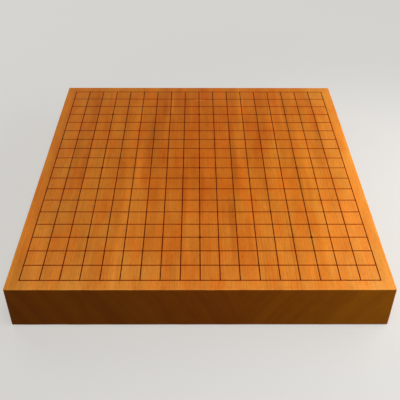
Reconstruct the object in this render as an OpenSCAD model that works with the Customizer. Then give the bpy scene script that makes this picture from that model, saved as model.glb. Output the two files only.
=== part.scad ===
// Go board for a table top. Staves glued edge to edge make one thick slab of solid wood.
// Raised lacquer lines cross on its top face, with lacquer star points over nine crossings.
// Origin in the middle of the underside, X across, Y along the grain, Z up, in millimetres.

/* [Slab] */
// Width of the board, across the grain
board_w = 425; // [300:1:600]
// Length of the board, along the grain
board_l = 455.6; // [300:0.1:650]
// Thickness of the wood
board_t = 57; // [20:1:180]
// Staves glued side by side
stave_count = 5; // [3:1:9]
// Arris taken off round the top face
top_arris = 1; // [0.2:0.1:3]
// Arris taken off the four upright corners
corner_arris = 1.5; // [0.2:0.1:4]
// Arris taken off round the underside
bottom_arris = 2; // [0.2:0.1:4]

/* [Grid] */
// Lines in each direction
line_count = 19; // [9:2:19]
// Bare wood from a side of the board to the middle of its outer line
margin_x = 14.5; // [8:0.5:30]
// Bare wood from an end of the board to the middle of its outer line
margin_y = 14.5; // [8:0.5:30]

/* [Lacquer] */
// Width of a line
line_w = 1; // [0.6:0.1:1.2]
// Height of a lengthwise line above the wood
line_h = 0.15; // [0.05:0.05:0.4]
// Lacquer that a crosswise line lays over each lengthwise line
lap_h = 0.1; // [0.05:0.05:0.3]
// Diameter of a star point on the wood
star_d = 3.2; // [3:0.1:6]
// Lacquer that a star point lays over its crossing
star_h = 0.1; // [0.05:0.05:0.3]
// Width of a star point's sloping rim
star_rim = 0.3; // [0.1:0.05:0.3]
// Spaces from the outer lines to the first star points
star_inset = 3; // [2:1:3]

/* [Hidden] */
grid_w = board_w - 2 * margin_x;
grid_l = board_l - 2 * margin_y;
// Spacing of the lengthwise lines across the board and of the crosswise lines along it
pitch_x = grid_w / (line_count - 1);
pitch_y = grid_l / (line_count - 1);
stave_w = board_w / stave_count;

// A line ends flush with the outer edge of the line that it meets
long_line_l = grid_l + line_w;
cross_line_l = grid_w + line_w;
cross_line_h = line_h + lap_h;
star_top = cross_line_h + star_h;

// Line numbers that carry star points, from 0, and the crossings in rows from the near left
star_lines = [star_inset, (line_count - 1) / 2, line_count - 1 - star_inset];
star_spots = [for (row = star_lines) for (column = star_lines) [column, row]];

// How far a cut runs past the surface that it opens
overcut = 1;
$fn = 64;

wood = [0.78, 0.46, 0.16];
lacquer = [0.1, 0.06, 0.04];

function line_x(number) = number * pitch_x - grid_w / 2;
function line_y(number) = number * pitch_y - grid_l / 2;
function two_digits(number) = str(number < 10 ? "0" : "", number);

STAVES = [for (number = [1 : stave_count]) str("stave_", number)];
LONG_LINES = [for (number = [1 : line_count]) str("long_line_", two_digits(number))];
CROSS_LINES = [for (number = [1 : line_count]) str("cross_line_", two_digits(number))];
STAR_POINTS = [for (number = [1 : len(star_spots)]) str("star_point_", number)];

// Upright outline of the slab, seen square on to a side or an end of this width
module side_outline(width) {
    polygon([
        [-width / 2 + bottom_arris, 0],
        [width / 2 - bottom_arris, 0],
        [width / 2, bottom_arris],
        [width / 2, board_t - top_arris],
        [width / 2 - top_arris, board_t],
        [-width / 2 + top_arris, board_t],
        [-width / 2, board_t - top_arris],
        [-width / 2, bottom_arris],
    ]);
}

// Outline of the slab seen from above
module plan_outline() {
    half_w = board_w / 2;
    half_l = board_l / 2;
    polygon([
        [-half_w + corner_arris, -half_l],
        [half_w - corner_arris, -half_l],
        [half_w, -half_l + corner_arris],
        [half_w, half_l - corner_arris],
        [half_w - corner_arris, half_l],
        [-half_w + corner_arris, half_l],
        [-half_w, half_l - corner_arris],
        [-half_w, -half_l + corner_arris],
    ]);
}

// The glued slab, planed flat and square, with all its arrises taken off
module slab() {
    intersection() {
        rotate([90, 0, 0])
            linear_extrude(board_l, center = true)
                side_outline(board_w);
        rotate([90, 0, 90])
            linear_extrude(board_w, center = true)
                side_outline(board_l);
        linear_extrude(board_t)
            plan_outline();
    }
}

// One stave: the slab between two glued joints, or between a joint and the board's side
module stave(number) {
    color(wood)
        intersection() {
            slab();
            translate([number * stave_w - board_w / 2, -board_l / 2, 0])
                cube([stave_w, board_l, board_t]);
        }
}

// One lengthwise line, laid straight on the wood
module long_line(number) {
    color(lacquer)
        translate([line_x(number) - line_w / 2, -long_line_l / 2, board_t])
            cube([line_w, long_line_l, line_h]);
}

// One crosswise line: a thread over all the lengthwise lines, and its feet on the wood between them
module cross_line(number) {
    color(lacquer)
        translate([0, line_y(number) + line_w / 2, board_t])
            rotate([90, 0, 0])
                linear_extrude(line_w) {
                    translate([-cross_line_l / 2, line_h])
                        square([cross_line_l, lap_h]);
                    for (left = [0 : line_count - 2])
                        translate([line_x(left) + line_w / 2, 0])
                            square([pitch_x - line_w, line_h]);
                }
}

// One star point: a low drop that fits over both lines of its crossing
module star_point(spot) {
    color(lacquer)
        translate([line_x(spot.x), line_y(spot.y), board_t])
            difference() {
                cylinder(d1 = star_d, d2 = star_d - 2 * star_rim, h = star_top);
                translate([-line_w / 2, -star_d, -overcut])
                    cube([line_w, 2 * star_d, overcut + line_h]);
                translate([-star_d, -line_w / 2, -overcut])
                    cube([2 * star_d, line_w, overcut + cross_line_h]);
            }
}

for (i = [0 : stave_count - 1])
    stave(i);
for (i = [0 : line_count - 1])
    long_line(i);
for (i = [0 : line_count - 1])
    cross_line(i);
for (i = [0 : len(star_spots) - 1])
    star_point(star_spots[i]);
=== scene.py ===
import math

import bmesh
import bpy
from mathutils import Matrix, Vector
from mathutils.noise import noise as drift


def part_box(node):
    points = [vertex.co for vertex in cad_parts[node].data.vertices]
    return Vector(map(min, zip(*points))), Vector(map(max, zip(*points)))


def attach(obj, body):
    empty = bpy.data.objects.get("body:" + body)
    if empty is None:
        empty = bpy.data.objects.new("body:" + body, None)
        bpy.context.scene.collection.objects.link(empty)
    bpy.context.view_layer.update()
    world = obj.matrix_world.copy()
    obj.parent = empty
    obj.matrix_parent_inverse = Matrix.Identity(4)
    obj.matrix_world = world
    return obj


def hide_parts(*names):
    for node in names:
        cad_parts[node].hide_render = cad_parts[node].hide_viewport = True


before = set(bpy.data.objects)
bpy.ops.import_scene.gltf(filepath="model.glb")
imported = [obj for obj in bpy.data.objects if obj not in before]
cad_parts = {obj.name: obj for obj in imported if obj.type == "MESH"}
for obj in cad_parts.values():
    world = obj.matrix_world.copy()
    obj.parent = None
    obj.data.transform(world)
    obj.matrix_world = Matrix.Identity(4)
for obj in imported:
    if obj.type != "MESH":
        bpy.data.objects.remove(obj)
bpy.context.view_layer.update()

# Staves: five lengths of straight-grained softwood, edge-glued and then planed as one slab.
# Each was sawn from another part of the log, so its growth rings lean their own way on the
# end grain. The arrises are eased by hand and the wood is oiled to a satin sheen.
MM = 0.001
TOP_EASE = 1.0 * MM
CORNER_EASE = 1.7 * MM
BOTTOM_EASE = 2.2 * MM
EASE_STEPS = 5
EDGE_SPACING = 9 * MM
HAND_UNEVENNESS = 0.18
UNEVENNESS_FINENESS = 40

stave_names = [name for name in sorted(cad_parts) if name.startswith("stave_")]
board_low = Vector(map(min, zip(*(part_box(name)[0] for name in stave_names))))
board_high = Vector(map(max, zip(*(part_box(name)[1] for name in stave_names))))
board_top = board_high.z


def evenly(low, high, spacing):
    """Values from low to high, about a spacing apart."""
    count = max(2, round((high - low) / spacing))
    return [low + (high - low) * step / count for step in range(count + 1)]


def stave_outline(left, right):
    """Points round a stave seen from above, each with the way inwards from the board's edge."""
    at_left, at_right = left == board_low.x, right == board_high.x
    first = left + (CORNER_EASE if at_left else 0)
    last = right - (CORNER_EASE if at_right else 0)
    near, far = board_low.y + CORNER_EASE, board_high.y - CORNER_EASE

    def end(y, inwards):
        return [(Vector((x, y, 0)), Vector((0, inwards, 0))) for x in evenly(first, last, EDGE_SPACING)]

    def side(x, inwards):
        return [(Vector((x, y, 0)), Vector((inwards, 0, 0))) for y in evenly(near, far, EDGE_SPACING)]

    def corner(x_side, y_side):
        centre = Vector((last if x_side > 0 else first, far if y_side > 0 else near, 0))
        arc = []
        for step in range(1, EASE_STEPS + 1):
            turn = math.radians(90) * step / (EASE_STEPS + 1)
            out = Vector((x_side * math.sin(turn), y_side * math.cos(turn), 0))
            arc.append((centre + CORNER_EASE * out, -out))
        return arc

    outline = end(board_low.y, 1)
    if at_right:
        outline += corner(1, -1) + side(right, -1) + corner(1, 1)[::-1]
    outline += end(board_high.y, -1)[::-1]
    if at_left:
        outline += corner(-1, 1) + side(left, 1)[::-1] + corner(-1, -1)[::-1]
    return outline


def join_rings(mesh, rings):
    """Faces between each ring of points and the next one."""
    for ring, following in zip(rings, rings[1:]):
        for i in range(len(ring)):
            j = (i + 1) % len(ring)
            mesh.faces.new((ring[i], ring[j], following[j], following[i]))


def finish_mesh(mesh, name, sharp_angle=40):
    """Turns a bmesh into an object with smooth curves and crisp edges."""
    bmesh.ops.recalc_face_normals(mesh, faces=mesh.faces)
    for face in mesh.faces:
        face.smooth = True
    data = bpy.data.meshes.new(name)
    mesh.to_mesh(data)
    mesh.free()
    data.set_sharp_from_angle(angle=math.radians(sharp_angle))
    piece = bpy.data.objects.new(name, data)
    bpy.context.scene.collection.objects.link(piece)
    even = piece.modifiers.new("even_flats", "WEIGHTED_NORMAL")
    even.keep_sharp = True
    return piece


def planed_stave(name, left, right):
    """A stave's mesh: flat faces, square glued edges and unevenly eased outer arrises."""
    mesh = bmesh.new()
    outline = stave_outline(left, right)
    rings = []
    for top in (False, True):
        for step in range(EASE_STEPS + 1):
            turn = math.radians(90) * step / EASE_STEPS
            ring = []
            for point, inwards in outline:
                ease = 1 + HAND_UNEVENNESS * drift(point * UNEVENNESS_FINENESS)
                if top:
                    inset = ease * TOP_EASE * (1 - math.cos(turn))
                    z = board_top - ease * TOP_EASE * (1 - math.sin(turn))
                else:
                    inset = ease * BOTTOM_EASE * (1 - math.sin(turn))
                    z = board_low.z + ease * BOTTOM_EASE * (1 - math.cos(turn))
                ring.append(mesh.verts.new(point + inset * inwards + Vector((0, 0, z))))
            rings.append(ring)
    join_rings(mesh, rings)
    mesh.faces.new(rings[0][::-1])
    mesh.faces.new(rings[-1])
    return finish_mesh(mesh, name)


# how much further a change of tone turns green and blue than red
TONE_GREEN = 1.4
TONE_BLUE = 2.0


class Shade:
    """A socket in a material's node tree. Arithmetic on shades adds Math nodes."""

    def __init__(self, tree, socket=None):
        self.tree = tree
        self.socket = socket

    def node(self, kind, settings=None, values=None, out=0):
        """Adds a node, sets it up, fills its sockets with numbers or links, and returns an output."""
        made = self.tree.nodes.new("ShaderNode" + kind)
        for name, setting in (settings or {}).items():
            setattr(made, name, setting)
        for name, value in (values or {}).items():
            if isinstance(value, Shade):
                self.tree.links.new(value.socket, made.inputs[name])
            else:
                made.inputs[name].default_value = value
        return Shade(self.tree, made.outputs[out] if made.outputs else None)

    def sibling(self, out):
        """Another output of the same node."""
        return Shade(self.tree, self.socket.node.outputs[out])

    def math(self, operation, *terms):
        return self.node("Math", {"operation": operation}, dict(enumerate(terms)))

    def __add__(self, other):
        return self.math("ADD", self, other)

    def __radd__(self, other):
        return self.math("ADD", other, self)

    def __sub__(self, other):
        return self.math("SUBTRACT", self, other)

    def __rsub__(self, other):
        return self.math("SUBTRACT", other, self)

    def __mul__(self, other):
        return self.math("MULTIPLY", self, other)

    def __rmul__(self, other):
        return self.math("MULTIPLY", other, self)

    def __truediv__(self, other):
        return self.math("DIVIDE", self, other)

    def __rtruediv__(self, other):
        return self.math("DIVIDE", other, self)

    def __pow__(self, other):
        return self.math("POWER", self, other)

    def __rpow__(self, other):
        return self.math("POWER", other, self)

    def __neg__(self):
        return self.math("MULTIPLY", self, -1)

    def __abs__(self):
        return self.math("ABSOLUTE", self)

    def split(self):
        """The X, Y and Z of this vector."""
        x = self.node("SeparateXYZ", {}, {"Vector": self})
        return x, x.sibling("Y"), x.sibling("Z")

    def from_nearest(self, pitch):
        """How far this value is from the nearest whole multiple of a pitch."""
        return self.math("PINGPONG", self, pitch / 2)

    def rise(self, low, high):
        """0 below low, 1 above high, and a smooth rise between them."""
        limits = {"Value": self, "From Min": low, "From Max": high}
        return self.node("MapRange", {"interpolation_type": "SMOOTHSTEP"}, limits)

    def hump(self, middle, half_width):
        """1 at the middle, falling smoothly to 0 at half_width on both sides."""
        return 1 - abs(self - middle).rise(0, half_width)

    def noise(self, stretch, shift=0.0, detail=2.0, roughness=0.5):
        """Noise from 0 to 1 in space, with its own fineness along X, Y and Z per metre."""
        moved = self.node(
            "VectorMath",
            {"operation": "MULTIPLY_ADD"},
            {0: self, 1: stretch, 2: (shift, shift, shift)},
        )
        values = {"Vector": moved, "Scale": 1.0, "Detail": detail, "Roughness": roughness}
        return self.node("TexNoise", {}, values)

    def noise_along(self, fineness, shift=0.0, detail=2.0):
        """Noise from 0 to 1 that changes along this value only."""
        values = {"W": self * fineness + shift, "Scale": 1.0, "Detail": detail}
        return self.node("TexNoise", {"noise_dimensions": "1D"}, values)

    def mix(self, first, second):
        """The first colour turning into the second as this value goes from 0 to 1."""
        return self.node("Mix", {"data_type": "RGBA"}, {0: self, 6: first, 7: second}, out=2)

    def stain(self, change):
        """This colour with its red, green and blue turned up or down."""
        return self.node("VectorMath", {"operation": "MULTIPLY"}, {0: self, 1: change})

    def tone(self, strength):
        """This colour made paler and yellower, or darker and redder where strength is below 0."""
        change = {"X": 1 + strength, "Y": 1 + TONE_GREEN * strength, "Z": 1 + TONE_BLUE * strength}
        return self.stain(self.node("CombineXYZ", {}, change))

    def surface(self, **sockets):
        """Ends the material in a Principled surface with these sockets."""
        values = {name.replace("_", " "): value for name, value in sockets.items()}
        shader = self.node("BsdfPrincipled", {}, values)
        self.node("OutputMaterial", {}, {"Surface": shader})


def start_material(name):
    """A new material, and a shade with no socket yet that adds its first nodes."""
    material = bpy.data.materials.new(name)
    material.use_nodes = True
    material.node_tree.nodes.clear()
    return material, Shade(material.node_tree)


# the log: width of a year's ring, and how far the stave lies from the heart, which isn't quite straight
RING_WIDTH = 2.2 * MM
RING_CROWDING = 3
HEART_AWAY = 320 * MM
HEART_WANDER = 12 * MM
HEART_WOBBLE = 3.2 * MM

# colours of the wood across the board, reddest near its middle, and where sapwood takes over, paler partly
# from painted light
YELLOW_WOOD = (0.545, 0.160, 0.0130, 1.0)
RED_WOOD = (0.515, 0.131, 0.0095, 1.0)
RED_MIDDLE = 15 * MM
RED_REACH = 165 * MM
# paler sapwood on the right, partly painted light on the side nearest the lamp
SAP_WOOD_AND_PAINTED_LIGHT = (0.588, 0.190, 0.0215, 1.0)
SAP_AND_LIGHT_FROM = 130 * MM
SAP_AND_LIGHT_FULL = 215 * MM

# changes of red, green and blue, and the tone of a line of glue
REDDER_PATCH = (1.025, 0.91, 0.80)
YELLOWER_PATCH = (0.975, 1.09, 1.20)
NEAR_PALING = (1.06, 1.18, 1.7)
FAR_REDDENING = (1.0, 0.94, 0.84)
LACQUER_SOAK = (0.96, 0.53, 0.05)
# end grain: dark from the oil, with painted shade at the left and painted light at the right
END_GRAIN_IN_PAINTED_SHADE = (0.485, 0.40, 0.05)
END_GRAIN_IN_PAINTED_LIGHT = (0.61, 0.565, 0.06)
DRY_UNDERSIDE = (0.95, 1.06, 1.7)
# paler wood along the arrises: rubbed by hands, and a painted highlight
RUBBED_PALE_AND_HIGHLIGHT = (1.5, 1.8, 3.0)
GLUE_TONE = -0.25

# sizes of what use and making left on the wood
SOAK_FROM = 0.3 * MM
SOAK_ASIDE = 0.85 * MM
SOAK_ALONG = 1.4 * MM
# how wide and how strong the rubbed rim with its painted highlight along the arrises is
RUBBED_AND_HIGHLIT_RIM = 2.8 * MM
RUBBED_AND_HIGHLIT_SHARE = 0.45
GLUE_CORE = 0.02 * MM
GLUE_EDGE = 0.2 * MM
FLECK_FRAYING = 1.2
BUMP_DEPTH = 0.12 * MM
WOOD_SHEEN = 0.09

# where the tone changes: at the rim of the ruled part, along the top face, and across the ends
PLAY_OUTSIDE = 4 * MM
PLAY_INSIDE = 2 * MM
# painted shade: where the board is painted darkest along its length, and how far that reaches
PAINTED_SHADE_MIDDLE = 80 * MM
PAINTED_SHADE_REACH = 320 * MM
NEAR_HALFWAY = 150 * MM
NEAR_PALEST = 224 * MM
FAR_REDDEST = 135 * MM
FAR_RED_REACH = 80 * MM
# painted light and shade across the ends: darkest at the left, palest towards the right
END_PAINTED_SHADE_AT = -230 * MM
END_PAINTED_LIGHT_AT = 180 * MM

ruled_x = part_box("long_line_19")[1].x
ruled_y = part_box("cross_line_19")[1].y
pitch_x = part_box("long_line_02")[1].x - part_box("long_line_01")[1].x
pitch_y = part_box("cross_line_02")[1].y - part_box("cross_line_01")[1].y


def late_wood(depth, seed):
    """The dark late wood at the end of each year's ring, stronger in some years than in others."""
    years = depth / RING_WIDTH + RING_CROWDING * depth.noise_along(70, seed, detail=3)
    year = years.math("FLOOR", years)
    season = years - year
    strength = depth.node("TexWhiteNoise", {"noise_dimensions": "1D"}, {"W": year + seed})
    return season.rise(0.3, 0.9) * (1 - season.rise(0.92, 1.0)) * (0.3 + 0.6 * strength)


def wood_figure(place, depth, end, seed):
    """Broad bands of paler and darker years, clearest on the ends, and soft patches along the grain."""
    band = depth.noise_along(50, seed + 3, detail=3).rise(0.25, 0.75)
    patch = place.noise((60, 14, 60), seed + 5, detail=4, roughness=0.6).rise(0.25, 0.75)
    return (0.09 + 0.11 * end) * (band - 0.5) + (0.20 - 0.12 * end) * (patch - 0.5)


def wood_streaks(across, along, streaks):
    """Single paler and darker streaks, each with its own place and reach across and along the board."""
    figure = 0
    for middle, half_width, centre, half_length, strength in streaks:
        streak = strength * across.hump(middle * MM, half_width * MM)
        figure = figure + streak * along.hump(centre * MM, half_length * MM)
    return figure


def bud_fleck(x, y, fibre, fleck):
    """A short pale fleck where the grain dips round a bud, frayed by the fibres."""
    middle, centre, length, width, turn, strength = fleck
    turn = math.radians(turn)
    off_x, off_y = x - middle * MM, y - centre * MM
    along = (off_x * math.cos(turn) + off_y * math.sin(turn)) / (length / 2 * MM)
    aside = (off_y * math.cos(turn) - off_x * math.sin(turn)) / (width / 2 * MM)
    frayed = along * along + aside * aside + FLECK_FRAYING * (fibre - 0.5)
    return strength * (1 - frayed.rise(0.1, 1.1))


def lacquer_soak(x, y):
    """Wood beside the lines that lacquer soaked into, furthest along the fibres by a crosswise line."""
    beside_long = 1 - x.from_nearest(pitch_x).rise(SOAK_FROM, SOAK_ASIDE)
    beside_cross = 1 - y.from_nearest(pitch_y).rise(SOAK_FROM, SOAK_ALONG)
    return x.math("MAXIMUM", beside_long, beside_cross)


def rubbed_and_highlit_arrises(place, seed):
    """Arrises and corners of the board where hands have rubbed the wood paler, in patches, and where a
    highlight is painted along the edges.
    """
    x, y, z = place.split()
    by_side = 1 - (board_high.x - abs(x)).rise(0, RUBBED_AND_HIGHLIT_RIM)
    by_end = 1 - (board_high.y - abs(y)).rise(0, RUBBED_AND_HIGHLIT_RIM)
    by_top = 1 - (board_top - z).rise(0, RUBBED_AND_HIGHLIT_RIM)
    by_foot = 1 - z.rise(0, RUBBED_AND_HIGHLIT_RIM)
    rubbed_and_highlit = (by_side + by_end + by_top + by_foot).rise(1.15, 1.9)
    return RUBBED_AND_HIGHLIT_SHARE * rubbed_and_highlit * place.noise((60, 60, 60), seed, detail=4).rise(0.3, 0.7)


def stave_wood(name, left, right, seed, lean, streaks, flecks):
    """Oiled wood of one stave. lean is the slope of its rings on the near end, falling to the right."""
    material, start = start_material(name)
    place = start.node("TexCoord", out="Object")
    x, y, z = place.split()
    facing_y, facing_z = start.node("TexCoord", out="Normal").split()[1:]
    top = facing_z.rise(0.6, 0.9)
    under = (-facing_z).rise(0.6, 0.9)
    end = abs(facing_y).rise(0.55, 0.9)

    # distance from the heart of the log, and where a ring that far out comes up through the top face
    slope = math.radians(lean)
    middle = (left + right) / 2
    across = x - (middle - HEART_AWAY * math.sin(slope))
    up = z - (board_top - HEART_AWAY * math.cos(slope))
    radius = (across * across + up * up) ** 0.5
    wander = HEART_WANDER * (place.noise((3.0, 2.2, 3.0), seed) - 0.5)
    wobble = HEART_WOBBLE * (place.noise((22, 7, 22), seed + 7) - 0.5)
    depth = radius + wander + wobble
    surface = (depth - HEART_AWAY) / math.sin(slope) + middle
    streak_place = (radius + 0.8 * wobble - HEART_AWAY) / math.sin(slope) + middle

    # colour of the heartwood and sapwood, the sapwood on the right partly painted light, and its figure
    sap_and_painted_light = surface.rise(SAP_AND_LIGHT_FROM, SAP_AND_LIGHT_FULL)
    wood = surface.hump(RED_MIDDLE, RED_REACH).mix(YELLOW_WOOD, RED_WOOD)
    wood = sap_and_painted_light.mix(wood, SAP_WOOD_AND_PAINTED_LIGHT)
    wood = wood.tone(wood_figure(place, depth, end, seed) + wood_streaks(streak_place, y, streaks))
    hue = place.noise((75, 17, 75), seed + 21, detail=3).rise(0.3, 0.7)
    hue = hue + end * (0.5 - hue)
    wood = hue.mix(wood.stain(REDDER_PATCH), wood.stain(YELLOWER_PATCH))

    # late wood fading in and out, then fibres and short dark specks along the stave
    fade = place.noise((30, 6, 30), seed + 9).rise(0.2, 0.7)
    late = late_wood(depth, seed) * (0.35 + 0.65 * fade) * (1 - 0.5 * sap_and_painted_light)
    wood = wood.tone(late * (-0.18 - 0.06 * end))
    fibre = place.noise((620, 15, 620), seed + 11, detail=3, roughness=0.6)
    hair = place.noise((2400, 40, 2400), seed + 13, detail=2)
    specks = place.noise((950, 140, 950), seed + 15, detail=1).rise(0.5, 0.75)
    wood = wood.tone(0.18 * (fibre - 0.5) + 0.10 * (hair - 0.5) - 0.14 * specks + 0.044)
    for fleck in flecks:
        wood = wood.tone(bud_fleck(x, y, fibre, fleck))

    # the ruled part is darker from play, palest by the near end and reddest some way from the far end
    within_sides = (ruled_x - abs(x)).rise(-PLAY_OUTSIDE, PLAY_INSIDE)
    within_ends = (ruled_y - abs(y)).rise(-PLAY_OUTSIDE, PLAY_INSIDE)
    played = within_sides * within_ends * top
    # painted shade: the board is also painted darker a little past its middle, towards the far end
    wood = wood.tone(0.05 - 0.05 * played - 0.08 * y.hump(PAINTED_SHADE_MIDDLE, PAINTED_SHADE_REACH))
    near = 0.5 * (-y).rise(0, NEAR_HALFWAY) + 0.5 * (-y).rise(NEAR_HALFWAY, NEAR_PALEST)
    wood = (near * (0.5 + 0.5 * within_sides) * top).mix(wood, wood.stain(NEAR_PALING))
    wood = (y.hump(FAR_REDDEST, FAR_RED_REACH) * top).mix(wood, wood.stain(FAR_REDDENING))
    wood = (lacquer_soak(x, y) * played).mix(wood, wood.stain(LACQUER_SOAK))

    # end grain drinks the oil and goes dark, with painted shade on the left and painted light on the
    # right, and the underside is dry
    end_grain_painted_lit = x.rise(END_PAINTED_SHADE_AT, END_PAINTED_LIGHT_AT).mix(wood.stain(END_GRAIN_IN_PAINTED_SHADE), wood.stain(END_GRAIN_IN_PAINTED_LIGHT))
    wood = end.mix(wood, end_grain_painted_lit)
    wood = under.mix(wood, wood.stain(DRY_UNDERSIDE))
    # arrises paler where hands rubbed them, and from a painted highlight along the edges
    wood = rubbed_and_highlit_arrises(place, seed).mix(wood, wood.stain(RUBBED_PALE_AND_HIGHLIGHT))

    # hairline of glue where a stave meets its neighbour
    for joint in (left, right):
        if joint not in (board_low.x, board_high.x):
            glue = 1 - abs(x - joint).rise(GLUE_CORE, GLUE_EDGE)
            wood = wood.tone(GLUE_TONE * glue)

    roughness = 0.46 + 0.16 * (fibre - 0.5) - 0.08 * late - 0.04 * played + 0.16 * end + 0.2 * under
    height = 0.5 * fibre + 0.25 * hair + 0.5 * late * (1 - end)
    bump = start.node("Bump", {}, {"Strength": 0.16, "Distance": BUMP_DEPTH, "Height": height})
    start.surface(Base_Color=wood, Roughness=roughness, Normal=bump, Specular_IOR_Level=WOOD_SHEEN)
    return material


# for each stave the lean of its rings in degrees, its streaks as (across, half width, along, half length,
# paler or darker) and its flecks as (across, along, length, width, turn in degrees, paler). Places are in
# millimetres from the middle of the board.
WHOLE_LENGTH = 4000
stave_makings = [
    {
        "lean": 60,
        "streaks": [
            (-207, 16, 150, 160, 0.03),
            (-184, 12, 0, WHOLE_LENGTH, 0.03),
            (-169, 11, -10, 220, -0.12),
            (-160, 11, 150, 100, -0.22),
            (-157, 7, 0, 160, -0.18),
            (-179, 7, -150, 90, -0.13),
            (-138, 5, -140, 70, -0.06),
        ],
        "flecks": [],
    },
    {
        "lean": 56,
        "streaks": [
            (-119, 10, 170, 110, 0.13),
            (-106, 6, 40, 190, -0.13),
            (-92, 11, 130, 120, 0.14),
            (-83, 8, 0, 95, 0.20),
            (-92, 9, -90, 100, 0.18),
            (-96, 7, -175, 80, 0.12),
            (-69, 11, 60, 190, -0.15),
            (-58, 10, 60, 260, -0.16),
            (-51, 8, 150, 100, -0.13),
            (-49, 6, 25, 60, -0.13),
        ],
        "flecks": [],
    },
    {
        "lean": 58,
        "streaks": [
            (-41, 6, 190, 85, 0.24),
            (-18, 8, 180, 75, -0.13),
            (11, 7, 110, 90, -0.13),
            (-20, 7, -60, 90, -0.18),
            (4, 6, -60, 60, -0.08),
            (29, 9, 10, 80, 0.09),
            (40, 7, -125, 125, -0.22),
            (17, 7, -150, 70, 0.10),
        ],
        "flecks": [(0, 186.5, 24, 5, 0, 0.32)],
    },
    {
        "lean": -54,
        "streaks": [
            (47, 6, 30, 120, -0.17),
            (57, 6, 15, 150, 0.10),
            (64, 8, 160, 130, 0.20),
            (65, 9, -150, 80, 0.11),
            (96, 9, 130, 120, -0.17),
            (92, 7, -190, 80, 0.13),
            (86, 6, 100, 70, -0.12),
            (80, 10, 50, 110, -0.17),
            (87, 9, -50, 60, -0.09),
            (107, 8, 40, 240, 0.14),
            (124, 6, 155, 90, 0.12),
            (121, 9, -200, 80, 0.11),
        ],
        "flecks": [(82, -85, 11, 5, -73, 0.15)],
    },
    {
        "lean": -52,
        "streaks": [
            (131, 6, -25, 80, -0.20),
            (133, 8, 145, 75, -0.15),
            (142, 7, 140, 80, -0.12),
            (174, 9, 120, 100, -0.22),
            (189, 7, 140, 70, -0.14),
            (152, 15, -60, 260, 0.17),
            (198, 6, -60, 170, 0.11),
            (213, 18, 0, WHOLE_LENGTH, 0.08),
            (213, 45, 60, 220, 0.10),
        ],
        "flecks": [],
    },
]
SEED_STEP = 19.0
for number, (name, makings) in enumerate(zip(stave_names, stave_makings), 1):
    left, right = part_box(name)[0].x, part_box(name)[1].x
    stave = planed_stave(f"wood_{name}", left, right)
    wood = stave_wood(f"oiled_wood_{number}", left, right, SEED_STEP * number, **makings)
    stave.data.materials.append(wood)
    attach(stave, "root")
    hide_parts(name)

# Lengthwise lines: threads of thick dark lacquer laid along the grain with a straight edge.
# They stand a little proud of the wood and swell and thin slightly as the lacquer flowed.
LINE_SPREAD = 1.2
LINE_STEP = 6 * MM
LINE_TIPS = (0, 0.08, 0.2, 0.45)
LINE_TURNS = [math.pi * step / 6 for step in range(7)]
THINNEST_TIP = 0.15
SWELLING = 0.06
SWELLING_ACROSS = 170
SWELLING_ALONG = 45
LONG_SWELLING_LAYER = 3
LACQUER_SHEEN = 0.05

long_names = [name for name in sorted(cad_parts) if name.startswith("long_line_")]
line_low, line_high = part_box(long_names[0])
line_width = line_high.x - line_low.x
line_height = line_high.z - board_top


def colour(red, green, blue):
    """A colour as a screen gives it, from 0 to 255, in the units that shaders take."""
    linear = []
    for part in (red / 255, green / 255, blue / 255):
        linear.append(part / 12.92 if part <= 0.04045 else ((part + 0.055) / 1.055) ** 2.4)
    return (*linear, 1.0)


DARK_LACQUER = colour(70, 13, 1)
WARM_LACQUER = colour(92, 19, 1)


def lacquer_coat():
    """Dark red-brown lacquer, clouded where it lies thicker, with a half gloss that varies a little."""
    material, start = start_material("dark_lacquer")
    place = start.node("TexCoord", out="Object")
    cloud = place.noise((90, 90, 90), 5, detail=3).rise(0.3, 0.75)
    dust = place.noise((1500, 1500, 1500), 2, detail=2)
    coat = cloud.mix(DARK_LACQUER, WARM_LACQUER)
    start.surface(Base_Color=coat, Roughness=0.36 + 0.18 * dust, Specular_IOR_Level=LACQUER_SHEEN)
    return material


lacquer = lacquer_coat()


def bead(name, stations):
    """A closed thread of lacquer, by its middle, half width, underside and top at each station."""
    mesh = bmesh.new()
    rings = []
    for middle, half_width, under, top in stations:
        ring = []
        for turn in LINE_TURNS:
            lift = Vector((0, 0, under + (top - under) * math.sin(turn)))
            ring.append(mesh.verts.new(middle - math.cos(turn) * half_width + lift))
        rings.append(ring)
    join_rings(mesh, rings)
    mesh.faces.new(rings[0])
    mesh.faces.new(rings[-1][::-1])
    return finish_mesh(mesh, name, sharp_angle=60)


def long_thread(x, y):
    """Half width and height of a lengthwise thread at this place, as the lacquer flowed."""
    place = Vector((x * SWELLING_ACROSS, y * SWELLING_ALONG, LONG_SWELLING_LAYER))
    swell = 1 + SWELLING * drift(place)
    return swell * LINE_SPREAD * line_width / 2, swell * line_height


def rounded_end(from_end, half_width):
    """How wide a thread is near its rounded end, as a share of its full width."""
    if from_end >= half_width:
        return 1.0
    return max(THINNEST_TIP, math.sqrt(1 - (1 - from_end / half_width) ** 2))


for name in long_names:
    low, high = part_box(name)
    x = (low.x + high.x) / 2
    along = [low.y + tip * line_width for tip in LINE_TIPS]
    along += evenly(low.y, high.y, LINE_STEP)[1:-1]
    along += [high.y - tip * line_width for tip in reversed(LINE_TIPS)]
    stations = []
    for y in along:
        half_width, height = long_thread(x, y)
        share = rounded_end(min(y - low.y, high.y - y), line_width / 2)
        aside = Vector((share * half_width, 0, 0))
        stations.append((Vector((x, y, 0)), aside, board_top, board_top + share * height))
    line = bead(f"lacquer_{name}", stations)
    line.data.materials.append(lacquer)
    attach(line, "root")
    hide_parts(name)

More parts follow.
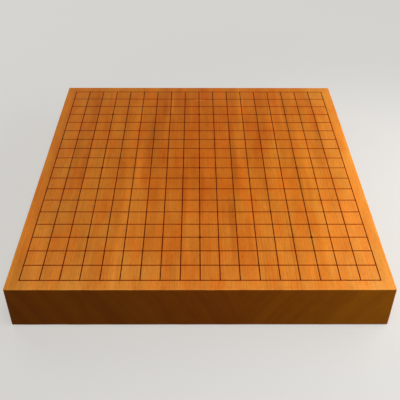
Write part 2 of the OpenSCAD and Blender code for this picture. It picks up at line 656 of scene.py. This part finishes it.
# Crosswise lines: threads of the same lacquer, laid across the grain after the others had set.
# Each rides over every lengthwise line in a low saddle and lies on the wood between them.
SADDLE_REACH = 1.3 * MM
CROSS_TIP = 0.1
CROSS_SWELLING_LAYER = 8
BETWEEN_SADDLES = (0.25, 0.5, 0.75)
cross_names = [name for name in sorted(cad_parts) if name.startswith("cross_line_")]
cross_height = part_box(cross_names[0])[1].z - board_top
long_places = [(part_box(name)[0].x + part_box(name)[1].x) / 2 for name in long_names]


def saddle_places(middle, foot):
    """Places across one lengthwise thread: up its own curve, and down the saddle on both sides."""
    slope = (foot + SADDLE_REACH) / 2
    curve = [-foot * math.cos(turn) for turn in LINE_TURNS]
    return [middle + offset for offset in (-SADDLE_REACH, -slope, *curve, slope, SADDLE_REACH)]


def saddle(x, y):
    """Height of the lacquer under and on top of a crosswise line at this place."""
    thread = min(long_places, key=lambda place: abs(x - place))
    off = abs(x - thread)
    half_width, height = long_thread(thread, y)
    under = height * math.sqrt(max(0, 1 - (off / half_width) ** 2))
    swell = 0.5 + 0.5 * math.cos(math.pi * min(1, off / SADDLE_REACH))
    return under, line_height + (cross_height - line_height) * swell


for name in cross_names:
    low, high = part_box(name)
    y = (low.y + high.y) / 2
    across = saddle_places(long_places[0], long_thread(long_places[0], y)[0])
    for place, following in zip(long_places, long_places[1:]):
        across += [place + (following - place) * share for share in BETWEEN_SADDLES]
        across += saddle_places(following, long_thread(following, y)[0])
    tip = CROSS_TIP * line_width
    across = [low.x, low.x + tip, *(x for x in across if low.x < x < high.x), high.x - tip, high.x]
    stations = []
    for x in across:
        place = Vector((x * SWELLING_ALONG, y * SWELLING_ACROSS, CROSS_SWELLING_LAYER))
        swell = 1 + SWELLING * drift(place)
        share = swell * rounded_end(min(x - low.x, high.x - x), line_width / 2)
        under, top = saddle(x, y)
        half_width = Vector((0, share * LINE_SPREAD * line_width / 2, 0))
        top = under + share * (top - under)
        stations.append((Vector((x, y, 0)), half_width, board_top + under, board_top + top))
    line = bead(f"lacquer_{name}", stations)
    line.data.materials.append(lacquer)
    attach(line, "root")
    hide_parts(name)

# Star points: small drops of the same lacquer, set last over nine crossings with a round stick.
# A drop draws itself up into a low dome with a slightly uneven rim.
STAR_SIDES = 28
STAR_RINGS = 6
STAR_SPREAD = 1.2
RIM_UNEVENNESS = 0.025
RIM_FINENESS = 1.5
RIM_VARIETY = 90
star_names = [name for name in sorted(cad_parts) if name.startswith("star_point_")]


def lacquer_drop(name, low, high):
    """A low dome over the box of a star point, spread a little past it."""
    mesh = bmesh.new()
    middle = (low + high) / 2
    radius, height = STAR_SPREAD * (high.x - low.x) / 2, high.z - low.z
    crown = mesh.verts.new((middle.x, middle.y, high.z))
    rings = []
    for step in range(1, STAR_RINGS + 1):
        turn = math.radians(90) * step / STAR_RINGS
        lift = Vector((0, 0, low.z - middle.z + height * math.cos(turn)))
        ring = []
        for side in range(STAR_SIDES):
            way = math.tau * side / STAR_SIDES
            out = Vector((math.cos(way), math.sin(way), 0))
            uneven = drift(out * RIM_FINENESS + middle * RIM_VARIETY)
            reach = radius * (1 - RIM_UNEVENNESS + RIM_UNEVENNESS * uneven)
            ring.append(mesh.verts.new(middle + reach * math.sin(turn) * out + lift))
        rings.append(ring)
    for i in range(STAR_SIDES):
        mesh.faces.new((crown, rings[0][i], rings[0][(i + 1) % STAR_SIDES]))
    join_rings(mesh, rings)
    mesh.faces.new(rings[-1])
    return finish_mesh(mesh, name, sharp_angle=60)


for name in star_names:
    drop = lacquer_drop(f"lacquer_{name}", *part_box(name))
    drop.data.materials.append(lacquer)
    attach(drop, "root")
    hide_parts(name)

# Floor: a plain pale sweep that the board lies on, turned up all round like a wide shallow dish.
# It isn't part of the object. It looks pale but throws little light back on to the board's sides.
FLOOR_FLAT = 2.2
FLOOR_FLAT_RINGS = (0.25, 0.5, 0.75, 1.0)
FLOOR_CURVE = 0.9
FLOOR_CURVE_STEPS = 12
FLOOR_STEEPEST = math.radians(80)
FLOOR_RIM = (1.1 * FLOOR_CURVE, 1.6 * FLOOR_CURVE)
FLOOR_SIDES = 96
FLOOR_PALE = colour(224, 222, 218)
FLOOR_DIM = colour(100, 98, 95)
FLOOR_GLOW = 0.9
GLOW_SHARE_NEAR = 0.65
GLOW_SHARE_GAIN = 0.3
GLOW_GAIN_FROM = 0.25
GLOW_GAIN_FULL = 0.7


def floor_sweep():
    """The floor's mesh: a flat disc, a curve that turns up round it, and a rim."""
    mesh = bmesh.new()
    profile = [(FLOOR_FLAT * share, 0.0) for share in FLOOR_FLAT_RINGS]
    for step in range(1, FLOOR_CURVE_STEPS + 1):
        turn = FLOOR_STEEPEST * step / FLOOR_CURVE_STEPS
        profile.append((FLOOR_FLAT + FLOOR_CURVE * math.sin(turn), FLOOR_CURVE * (1 - math.cos(turn))))
    profile.append((FLOOR_FLAT + FLOOR_RIM[0], FLOOR_RIM[1]))
    ways = [math.tau * side / FLOOR_SIDES for side in range(FLOOR_SIDES)]
    rings = []
    for radius, z in profile:
        rings.append([mesh.verts.new((radius * math.cos(way), radius * math.sin(way), z)) for way in ways])
    mesh.faces.new(rings[0])
    join_rings(mesh, rings)
    return finish_mesh(mesh, "floor_sweep")


def floor_paint():
    """Paint that is pale where the camera sees it, straight or in a reflection, and dim to other light."""
    material, start = start_material("floor_paint")
    path = start.node("LightPath", out="Is Camera Ray")
    seen = path + path.sibling("Is Glossy Ray") + path.sibling("Is Transmission Ray")
    lit = start.node("BsdfDiffuse", {}, {"Color": FLOOR_PALE})
    glow = start.node("Emission", {}, {"Color": FLOOR_PALE, "Strength": FLOOR_GLOW})
    place = start.node("TexCoord", out="Object")
    away = start.node("VectorMath", {"operation": "LENGTH"}, {0: place}, out="Value")
    glow_share = GLOW_SHARE_NEAR + GLOW_SHARE_GAIN * away.rise(GLOW_GAIN_FROM, GLOW_GAIN_FULL)
    pale = start.node("MixShader", {}, {0: glow_share, 1: lit, 2: glow})
    dim = start.node("BsdfDiffuse", {}, {"Color": FLOOR_DIM})
    shown = start.node("MixShader", {}, {0: seen.math("MINIMUM", seen, 1), 1: dim, 2: pale})
    start.node("OutputMaterial", {}, {"Surface": shown})
    return material


floor = floor_sweep()
floor.data.materials.append(floor_paint())

# Light: a wide soft lamp overhead towards the near end, a long low one along the right side, which
# makes that side of the board the brightest, and a weak one behind that fills the shadows. Only the
# overhead lamp shows in the sheen of the wood.
ROOM_GREY = (0.05, 0.05, 0.05, 1.0)


def soft_lamp(name, place, aim, size, watts, in_sheen):
    """A rectangular lamp, in metres, that the camera doesn't see."""
    lamp = bpy.data.lights.new(name, "AREA")
    lamp.shape = "RECTANGLE"
    lamp.size, lamp.size_y = size
    lamp.energy = watts
    holder = bpy.data.objects.new(name, lamp)
    bpy.context.scene.collection.objects.link(holder)
    holder.location = place
    holder.rotation_euler = (Vector(aim) - Vector(place)).to_track_quat("-Z", "Y").to_euler()
    holder.visible_camera = False
    holder.visible_glossy = in_sheen


soft_lamp("overhead_lamp", (0.06, -0.50, 1.40), (0.0, -0.05, 0.05), (0.8, 0.8), watts=13.4, in_sheen=True)
soft_lamp("right_lamp", (0.49, -0.13, 0.30), (0.10, -0.13, 0.05), (0.95, 0.3), watts=3.3, in_sheen=False)
soft_lamp("back_lamp", (-0.75, 0.75, 0.55), (0.0, 0.05, 0.03), (0.9, 0.9), watts=5.2, in_sheen=False)
room = bpy.data.worlds.new("dim_room")
room.use_nodes = True
room.node_tree.nodes["Background"].inputs["Color"].default_value = ROOM_GREY
bpy.context.scene.world = room
bpy.context.scene.view_settings.view_transform = "Standard"

# Camera: beyond the near end of the board and a little left of its middle, looking down on the
# top face and the near end grain, at the photograph's viewing angle.
CAMERA_PLACE = (-4.4 * MM, -705.6 * MM, 554.4 * MM)
CAMERA_TILT = math.radians(51.915)
CAMERA_PAN = math.radians(-0.43)
CAMERA_ROLL = math.radians(0.272)
CAMERA_LENS = 57.13
NEAREST_SEEN = 0.01
lens = bpy.data.cameras.new("camera")
lens.lens = CAMERA_LENS
lens.clip_start = NEAREST_SEEN
camera = bpy.data.objects.new("camera", lens)
camera.matrix_world = (
    Matrix.Translation(CAMERA_PLACE)
    @ Matrix.Rotation(CAMERA_PAN, 4, "Z")
    @ Matrix.Rotation(CAMERA_TILT, 4, "X")
    @ Matrix.Rotation(CAMERA_ROLL, 4, "Z")
)
bpy.context.scene.collection.objects.link(camera)
bpy.context.scene.camera = camera
